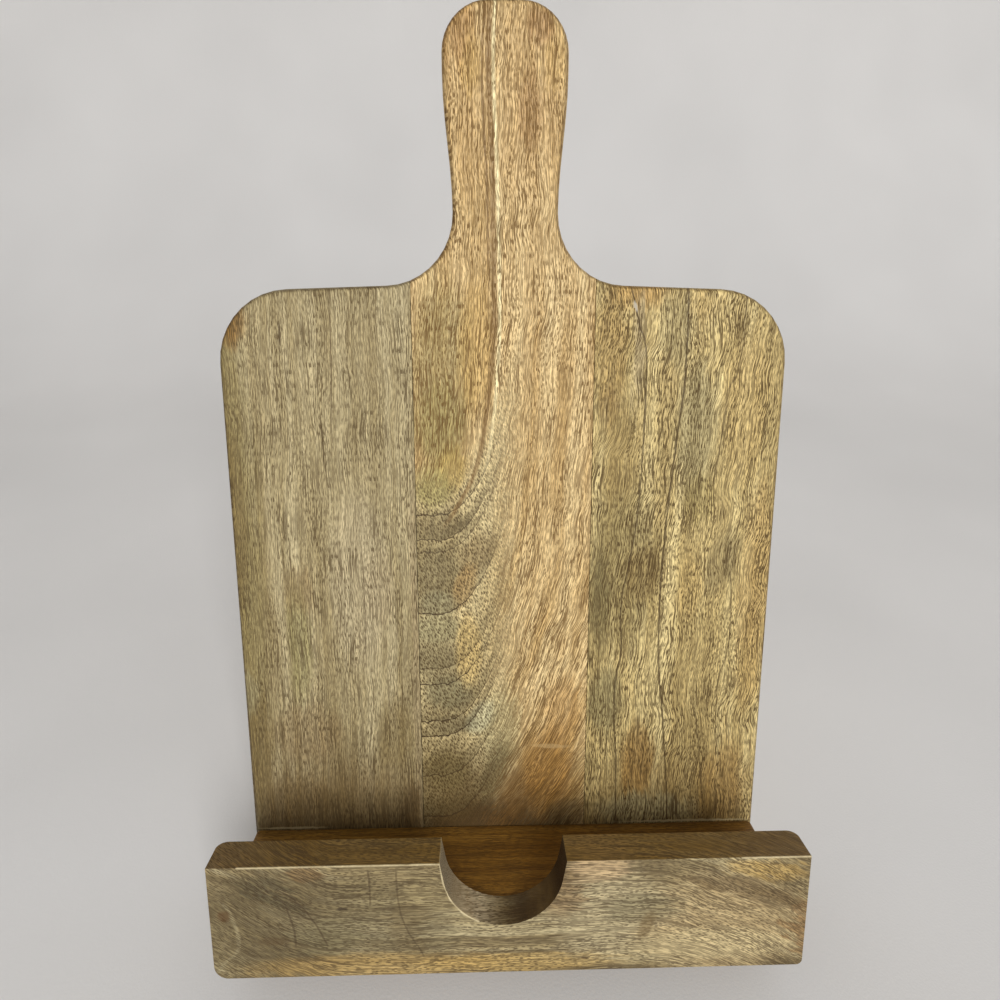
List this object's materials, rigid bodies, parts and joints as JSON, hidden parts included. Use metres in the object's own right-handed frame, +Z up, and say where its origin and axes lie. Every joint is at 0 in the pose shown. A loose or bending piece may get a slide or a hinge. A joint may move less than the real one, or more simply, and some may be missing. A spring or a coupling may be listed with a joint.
{
  "type": "cookbook stand",
  "caption": "Free-standing wooden cookbook stand: a handled paddle-board panel with a ledge, a lip with a half-round notch, and a hinged prop leg behind.",
  "frame": {"origin": "centre of the bottom of the bounding box, on the plane that the stand rests on", "axes": "+Z up; the front, with the lip, faces -Y; the prop leg opens towards +Y; X runs along the ledge"},
  "size_m": [0.284, 0.2287, 0.4288],
  "materials": {
    "left_plank_wood": "satin mango wood, pale greyish tan, straight grain",
    "centre_plank_wood": "satin mango wood, honey gold with growth rings",
    "right_plank_wood": "satin mango wood, olive gold with grey streaks",
    "ledge_wood": "satin mango wood, darker brown",
    "lip_wood": "satin mango wood, greyish tan to gold, curved figure",
    "leg_wood": "satin mango wood, plain tan",
    "dowel_wood": "bare beech",
    "hinge_brass": "plated, slightly dull",
    "screw_metal": "yellow passivated"
  },
  "bodies": {
    "stand": {"board_left_plank": "left_plank_wood", "board_centre_plank": "centre_plank_wood", "board_right_plank": "right_plank_wood", "ledge": "ledge_wood", "lip": "lip_wood", "ledge_screw_1": "screw_metal", "ledge_screw_2": "screw_metal", "ledge_screw_3": "screw_metal", "ledge_screw_4": "screw_metal", "lip_dowel_1": "dowel_wood", "lip_dowel_2": "dowel_wood", "lip_dowel_3": "dowel_wood", "lip_dowel_4": "dowel_wood", "hinge_board_leaf": "hinge_brass", "hinge_pin": "hinge_brass", "board_leaf_screw_1": "screw_metal", "board_leaf_screw_2": "screw_metal", "board_leaf_screw_3": "screw_metal"},
    "prop": {"prop_leg": "leg_wood", "hinge_leg_leaf": "hinge_brass", "leg_leaf_screw_1": "screw_metal", "leg_leaf_screw_2": "screw_metal", "leg_leaf_screw_3": "screw_metal"}
  },
  "joints": [
    {"name": "prop_hinge", "type": "hinge", "parent": "stand", "child": "prop", "pos_m": [0, 0.05337, 0.23483], "axis": [-1, 0, 0], "range_deg": [0, 27]}
  ]
}
